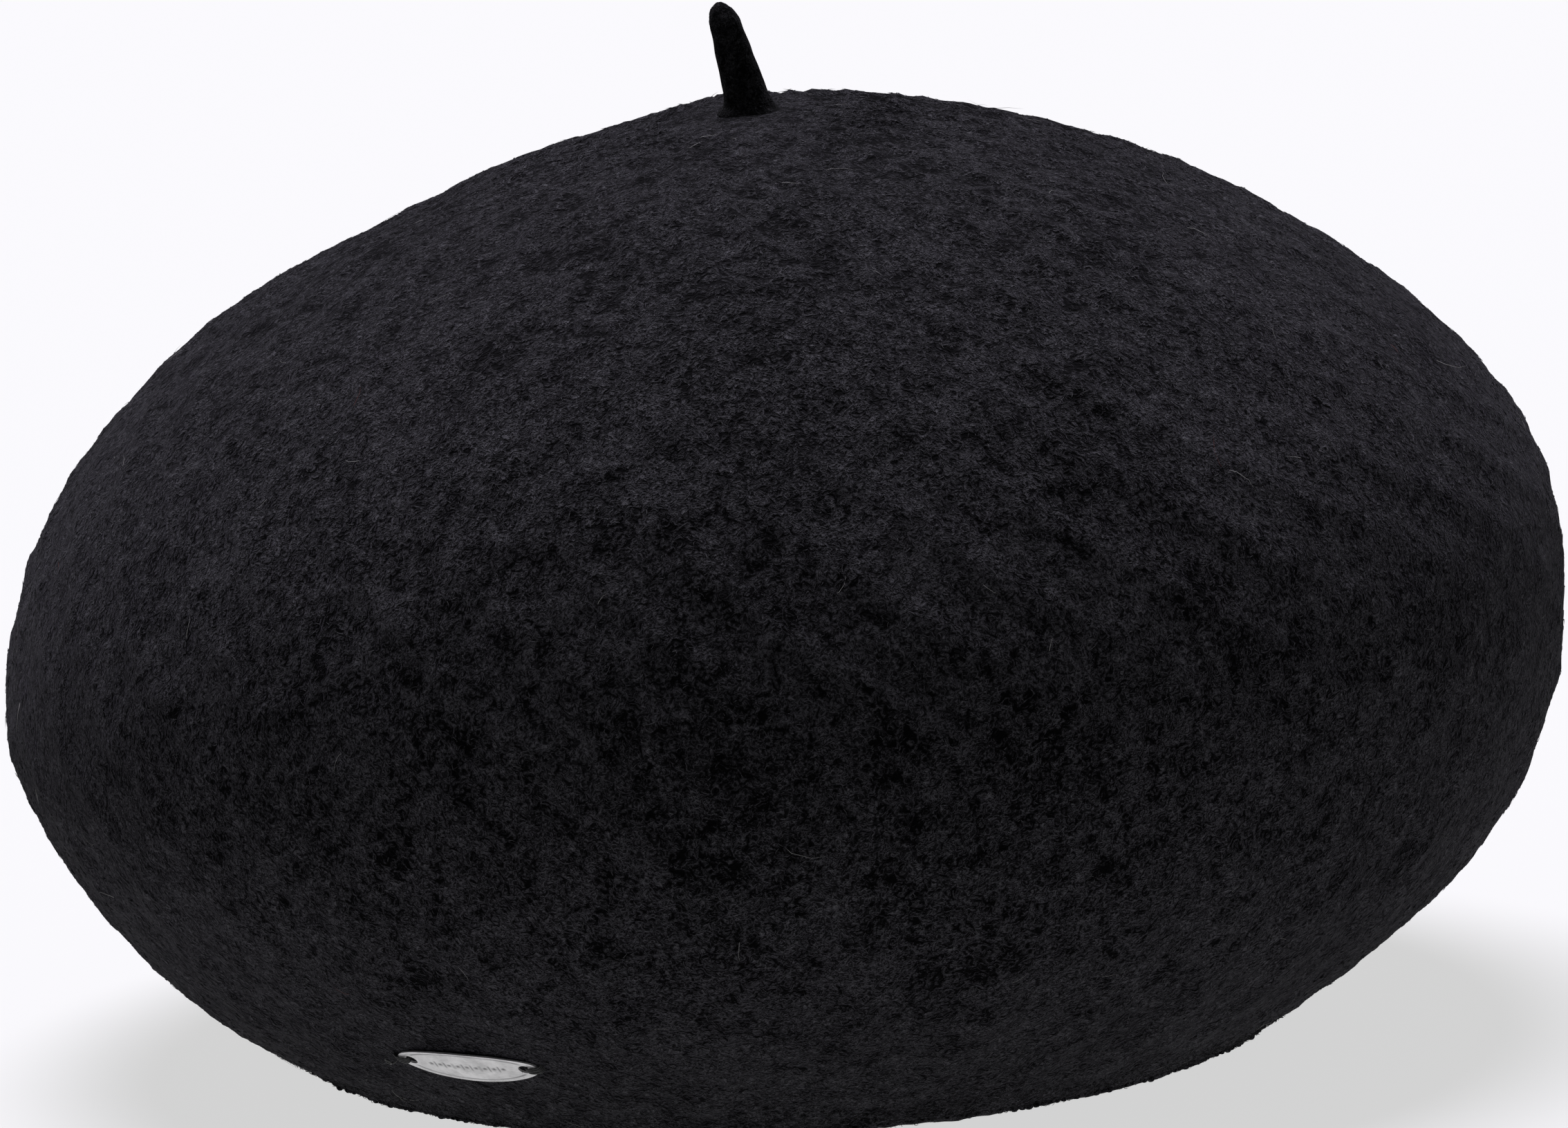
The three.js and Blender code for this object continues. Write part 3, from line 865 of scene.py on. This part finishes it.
def build_plate():
    """A holed oval blank bent to the felt, with a turned lip, an engraved border and soft dents."""
    deselect()
    bpy.ops.mesh.primitive_grid_add(x_subdivisions=150, y_subdivisions=44, size=2.0)
    plate = bpy.context.object
    plate.name = plate.data.name = "oval_plate"
    flat = corners_of(plate.data)
    turn = flat[:, 0] * math.radians(87.5)
    along = PLATE_HALF[0] * np.sin(turn)
    up = PLATE_HALF[1] * np.cos(turn) * flat[:, 1]
    for side in (-1, 1):
        x, y = along - side * HOLE_REACH, up
        gap = np.hypot(x, y)
        edge = np.abs(gap - HOLE_RADIUS) < 0.13
        grow = HOLE_RADIUS / np.maximum(gap, 1e-6)
        along = np.where(edge, side * HOLE_REACH + x * grow, along)
        up = np.where(edge, y * grow, up)
    set_corners(plate.data, np.stack([along, up, np.zeros(len(along))], axis=1))
    centres = np.array([face.center for face in plate.data.polygons])
    edit_faces(plate, from_hole(centres[:, 0], centres[:, 1]) < HOLE_RADIUS - 0.03)
    bpy.ops.mesh.delete(type="FACE")
    bpy.ops.object.mode_set(mode="OBJECT")

    flat = corners_of(plate.data)
    along, up = flat[:, 0], flat[:, 1]
    reach = np.hypot(along / PLATE_HALF[0], up / PLATE_HALF[1])
    cut = engraving(along, up)
    layer = plate.data.attributes.new("engraved", "FLOAT", "POINT")
    layer.data.foreach_set("value", cut.astype(np.float32))
    lip = 0.10 * fade(reach, 0.91, 0.95) * fade(1.02 - reach, 0.0, 0.05)
    dents = 0.03 * noise_at(np.stack([along, up, 0 * up], axis=1) * MM, 3.1 * MM, 31)
    height = PLATE_REST + lip + dents - 0.10 * cut
    bent = [on_plate(a, u, h) for a, u, h in zip(along, up, height)]
    set_corners(plate.data, np.array(bent))
    thicken(plate, PLATE_WALL * MM, -1.0)
    plate.data.shade_smooth()
    activate(plate)
    bpy.ops.object.shade_smooth_by_angle(angle=math.radians(40))
    finish_piece(plate, satin_plate_material(), ["name_plate"])


build_plate()


def sew_plate_end(side, name, node):
    """Five passes of thread from the hole over the plate's end, and one that wanders off as a loose curl."""
    routes = []
    for turn in range(5):
        off = (turn - 2) * 0.33
        wander = 0.1 * math.sin(7.0 * turn + side)
        passes = (
            (HOLE_REACH + 0.35, 0.6 * off, -1.2),
            (HOLE_REACH + 0.5, 0.8 * off, -0.1),
            (HOLE_REACH + 1.2 + wander, off, 0.24 + 0.1 * (turn % 2)),
            (HOLE_REACH + 2.3 + wander, 1.1 * off, 0.2 + 0.1 * (turn % 2)),
            (HOLE_REACH + 3.1 + wander, 1.15 * off, -0.15),
            (HOLE_REACH + 3.4 + wander, 1.15 * off, -1.7),
        )
        routes.append(smooth_route([on_plate(side * x, y, z) for x, y, z in passes], 6))
    if side < 0:
        curl = ((14.3, -0.6, -1.4), (14.8, -0.9, 0.2), (15.8, -1.3, 0.6), (16.7, -0.8, 0.7), (16.4, 0.0, 0.8))
        curl += ((15.6, -0.4, 0.9), (16.0, -1.5, 0.8), (17.3, -1.9, 0.5))
        routes.append(smooth_route([on_plate(-x, y, z) for x, y, z in curl], 6))
    thread_piece(name, routes, 0.16 * MM, node)


sew_plate_end(-1, "plate_thread_left_end", "plate_thread_left")
sew_plate_end(1, "plate_thread_right_end", "plate_thread_right")


def tie_knot(node, name):
    """A small overhand knot on the inside of the felt."""
    low, high = (np.array(v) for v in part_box(node))
    middle, size = (low + high) / 2, float(np.max(high - low)) / 2
    route = []
    for step in range(60):
        t = 2 * math.pi * step / 60
        ring = 0.36 * (2 + math.cos(3 * t))
        turn = np.array([ring * math.cos(2 * t), ring * math.sin(2 * t), 0.6 * math.sin(3 * t)])
        route.append(middle + size * turn * 0.85)
    thread_piece(name, [route], 0.3 * MM, node, closed=True)


tie_knot("plate_knot_left", "plate_knot_left_tied")
tie_knot("plate_knot_right", "plate_knot_right_tied")


def whip_stem_root():
    """Thread wound three times round the stem's root inside the crown, then stitched down in a star."""
    low, high = (np.array(v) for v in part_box("stem_thread"))
    middle = (low + high) / 2
    radius = float(high[0] - low[0]) / 2
    wound = []
    for share in np.arange(73) / 72:
        t = 2 * math.pi * 3 * share
        reach = radius - (0.35 + 0.3 * share) * MM
        wound.append(middle + np.array([reach * math.cos(t), reach * math.sin(t), (0.9 * share - 0.5) * MM]))
    routes = [wound]
    for stitch in range(8):
        t = 2 * math.pi * stitch / 8
        out, rise = MM * np.array([math.cos(t), math.sin(t), 0.0]), MM * np.array([0.0, 0.0, 1.0])
        marks = ((2.4, -0.9), (3.4, -1.0), (4.6, -0.3), (5.4, 1.2))
        routes.append(smooth_route([middle + r * out + z * rise for r, z in marks], 5))
    thread_piece("stem_root_whipping", routes, 0.24 * MM, "stem_thread")


whip_stem_root()


# ---------------------------------------------------------------- ribbon headband
BAND_A = (BAND_HIGH.x - BAND_LOW.x) / 2
BAND_B = (BAND_HIGH.y - BAND_LOW.y) / 2
BAND_THICKNESS = 0.8 * MM
BACK = math.pi / 2


def inside_band(phi, z, depth):
    """A point inside the hem, depth in from the band's outer face."""
    radius = BAND_A * math.cos(phi) ** 2 + BAND_B * math.sin(phi) ** 2 - depth
    return Vector((RIM_X + radius * math.cos(phi), radius * math.sin(phi), z))


def make_weave():
    """Cords across a narrow ribbon or the cross threads of a label, from the piece's own UV map."""
    group, given, result = new_group(
        "ribbon_weave",
        [("Across", FLOAT, 400.0), ("Along", FLOAT, 60.0), ("Dark", COLOUR, BLACK), ("Light", COLOUR, GREY)],
        [("Color", COLOUR), ("Height", FLOAT)],
    )
    cords, threads = (
        combined(group, "PINGPONG", combined(group, "MULTIPLY", axis, given.outputs[count]), 0.5)
        for axis, count in zip(surface_map(group), ("Across", "Along"))
    )
    lift = combined(group, "MULTIPLY_ADD", combined(group, "MULTIPLY", cords, threads), 2.0, cords)
    fuzz = add_node(group, "ShaderNodeTexNoise", Scale=900.0, Detail=2.0)
    place = group.nodes.new("ShaderNodeTexCoord")
    link(group, place.outputs["Object"], fuzz.inputs["Vector"])
    # Colour follows the cords' lift times a fuzz noise. The fuzz is random tone; the dark between the cords
    # is painted shade.
    tone = ranged(group, combined(group, "MULTIPLY", lift, fuzz.outputs["Fac"]), 0.0, 0.55)
    link(group, blended(group, tone, given.outputs["Dark"], given.outputs["Light"]), result.inputs["Color"])
    link(group, lift, result.inputs["Height"])
    return group


WEAVE = make_weave()


def woven_material(name, dark, light, across, along, bump, roughness, sheen):
    material, tree, surface = blank_material(name)
    weave = add_group(tree, WEAVE, Across=across, Along=along, Dark=(*dark, 1.0), Light=(*light, 1.0))
    link(tree, weave.outputs["Color"], surface.inputs["Base Color"])
    relief_on(tree, surface, weave.outputs["Height"], bump, 0.8)
    surface.inputs["Roughness"].default_value = roughness
    surface.inputs["Sheen Weight"].default_value = sheen
    return material


def ribbon_grid(name, columns, rows):
    """A flat strip of cloth, one unit each way, with its UV map."""
    deselect()
    bpy.ops.mesh.primitive_grid_add(x_subdivisions=columns, y_subdivisions=rows, size=1.0)
    piece = bpy.context.object
    piece.name = piece.data.name = name
    return piece


def lay_ribbon(name, from_phi, to_phi, low, high, depth, thickness, ribs, columns_per_rib, rows, rib_height):
    """A ribbon bent round the inside of the hem, its cords real ridges and its edges in small scallops."""
    piece = ribbon_grid(name, ribs * columns_per_rib, rows)
    bent = []
    for x, y, _ in corners_of(piece.data):
        t = x + 0.5
        phi = from_phi + (to_phi - from_phi) * t
        wave = math.cos(2 * math.pi * t * ribs)
        edge = abs(2 * y) ** 12
        z = low + (high - low) * (y + 0.5) + edge * math.copysign(0.12 * MM * wave, y)
        bent.append(inside_band(phi, z, depth + 0.5 * thickness - rib_height * wave * (1 - 0.7 * edge)))
    set_corners(piece.data, np.array(bent))
    thicken(piece, thickness)
    face_outwards(piece)
    return piece


BAND_RIBS, JOIN_RIBS, LABEL_RIBS = 560, 16, 40
RIBBON_BLACKS = ((0.004, 0.004, 0.0045), (0.02, 0.02, 0.023))
LABEL_CREAMS = ((0.30, 0.29, 0.26), (0.66, 0.64, 0.59))
SATIN_WHITES = ((0.52, 0.515, 0.49), (0.8, 0.79, 0.77))
RIBBON = woven_material("grosgrain_ribbon", *RIBBON_BLACKS, float(BAND_RIBS), 0.0, 0.12 * MM, 0.55, 0.05)
JOIN_RIBBON = woven_material("join_ribbon", *RIBBON_BLACKS, float(JOIN_RIBS), 0.0, 0.12 * MM, 0.55, 0.05)
LABEL_CLOTH = woven_material("woven_label_cloth", *LABEL_CREAMS, float(LABEL_RIBS), 26.0, 0.06 * MM, 0.7, 0.1)
CARE_SATIN = woven_material("printed_label_satin", *SATIN_WHITES, 70.0, 190.0, 0.03 * MM, 0.45, 0.1)

BUTT_GAP = 0.004
headband = lay_ribbon(
    "grosgrain_headband", BACK + BUTT_GAP, BACK + 2 * math.pi - BUTT_GAP, BAND_LOW.z, BAND_HIGH.z, 0.0,
    BAND_THICKNESS, BAND_RIBS, 2, 8, 0.11 * MM,
)
finish_piece(headband, RIBBON, ["headband"])

JOIN_LOW, JOIN_HIGH = (Vector(v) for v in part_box("headband_join"))
JOIN_HALF = (JOIN_HIGH.x - JOIN_LOW.x) / 2 / BAND_B
FACE = BAND_THICKNESS + 0.3 * MM
join = lay_ribbon(
    "headband_join_tab", BACK - JOIN_HALF, BACK + JOIN_HALF, JOIN_LOW.z, JOIN_HIGH.z, FACE,
    BAND_THICKNESS, JOIN_RIBS, 4, 10, 0.1 * MM,
)
finish_piece(join, JOIN_RIBBON, ["headband_join"])


def angles_of(node):
    points = corners_of(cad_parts[node].data)
    angles = np.unwrap(np.sort(np.arctan2(points[:, 1], points[:, 0] - RIM_X)))
    return float(angles.min()), float(angles.max())


LABEL_LOW, LABEL_HIGH = (Vector(v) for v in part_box("size_label"))
LABEL_FROM, LABEL_TO = angles_of("size_label")
LABEL_THICKNESS = 0.45 * MM
size_label = lay_ribbon(
    "size_label_woven", LABEL_FROM, LABEL_TO, LABEL_LOW.z, LABEL_HIGH.z, FACE,
    LABEL_THICKNESS, LABEL_RIBS, 2, 12, 0.02 * MM,
)
finish_piece(size_label, LABEL_CLOTH, ["size_label"])


def zigzag_route(from_phi, to_phi, waves, middle, swing, depth, steps, closed):
    route = []
    count = waves * steps + (0 if closed else 1)
    for k in range(count):
        wave = (2 / math.pi) * math.asin(0.96 * math.sin(2 * math.pi * k / steps))
        dip = 0.12 * MM * abs(wave)
        phi = from_phi + (to_phi - from_phi) * k / (waves * steps)
        route.append(inside_band(phi, middle + swing * wave, depth - dip))
    return route


SEAM_LOW, SEAM_HIGH = (Vector(v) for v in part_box("headband_thread"))
seam_middle = (SEAM_LOW.z + SEAM_HIGH.z) / 2
seam = zigzag_route(BACK, BACK + 2 * math.pi, 170, seam_middle, 1.4 * MM, FACE + 0.12 * MM, 12, True)
thread_piece("headband_zigzag_seam", [seam], 0.2 * MM, "headband_thread", sides=6, closed=True)

label_face = FACE + LABEL_THICKNESS + 0.2 * MM
label_edge = LABEL_HIGH.z - 1.2 * MM
label_seam = zigzag_route(LABEL_FROM + 0.01, LABEL_TO - 0.01, 12, label_edge, 0.5 * MM, label_face, 10, False)
thread_piece("size_label_seam", [label_seam], 0.14 * MM, "size_label_thread", sides=6)


# ---------------------------------------------------------------- care label
CARE_LOW, CARE_HIGH = (Vector(v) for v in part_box("care_label"))
CARE_THICKNESS = 0.16 * MM
CARE_FOLD = 0.5 * MM


def wall_spot(tree, phi, z):
    """Where the inner wall is at an angle and height, and which way it faces."""
    start = Vector((RIM_X + 30 * MM * math.cos(phi), 30 * MM * math.sin(phi), z))
    hit, normal, _, _ = tree.ray_cast(start, Vector((math.cos(phi), math.sin(phi), 0.0)))
    return hit, -normal if normal.dot(start - hit) < 0 else normal


def hang_care_label():
    """One strip of satin folded at its top: two plies against the felt, the corners lifting a little."""
    tree = BVHTree.FromObject(felt_shell, bpy.context.evaluated_depsgraph_get())
    care_from, care_to = angles_of("care_label")
    piece = ribbon_grid("care_label_folded", 24, 64)
    shaped = []
    for x, y, _ in corners_of(piece.data):
        t = y + 0.5
        phi = care_from + (care_to - care_from) * (x + 0.5)
        climb = 1 - abs(2 * t - 1)
        z = CARE_LOW.z + 0.6 * MM + (CARE_HIGH.z - CARE_LOW.z - 1.2 * MM) * climb
        spot, away = wall_spot(tree, phi, z)
        front = fade(np.array(t), 0.47, 0.53)
        lifted = 1.6 * MM * max(0.0, t - 0.75) ** 2 * 16 * (0.4 + 0.6 * abs(2 * x)) if t > 0.5 else 0.0
        shaped.append(spot + away * (0.75 * MM + CARE_FOLD * float(front) + lifted))
    set_corners(piece.data, np.array(shaped))
    thicken(piece, CARE_THICKNESS)
    face_outwards(piece)
    finish_piece(piece, CARE_SATIN, ["care_label"])

    route = []
    for k in range(91):
        phi = care_from + 0.02 + (care_to - care_from - 0.04) * k / 90
        wave = math.sin(2 * math.pi * k / 9)
        spot, away = wall_spot(tree, phi, CARE_LOW.z + 2.0 * MM + 0.35 * MM * wave)
        route.append(spot + away * (1.75 + 0.12 * wave) * MM)
    thread_piece("care_label_seam", [route], 0.14 * MM, "care_label_thread", sides=6)


hang_care_label()
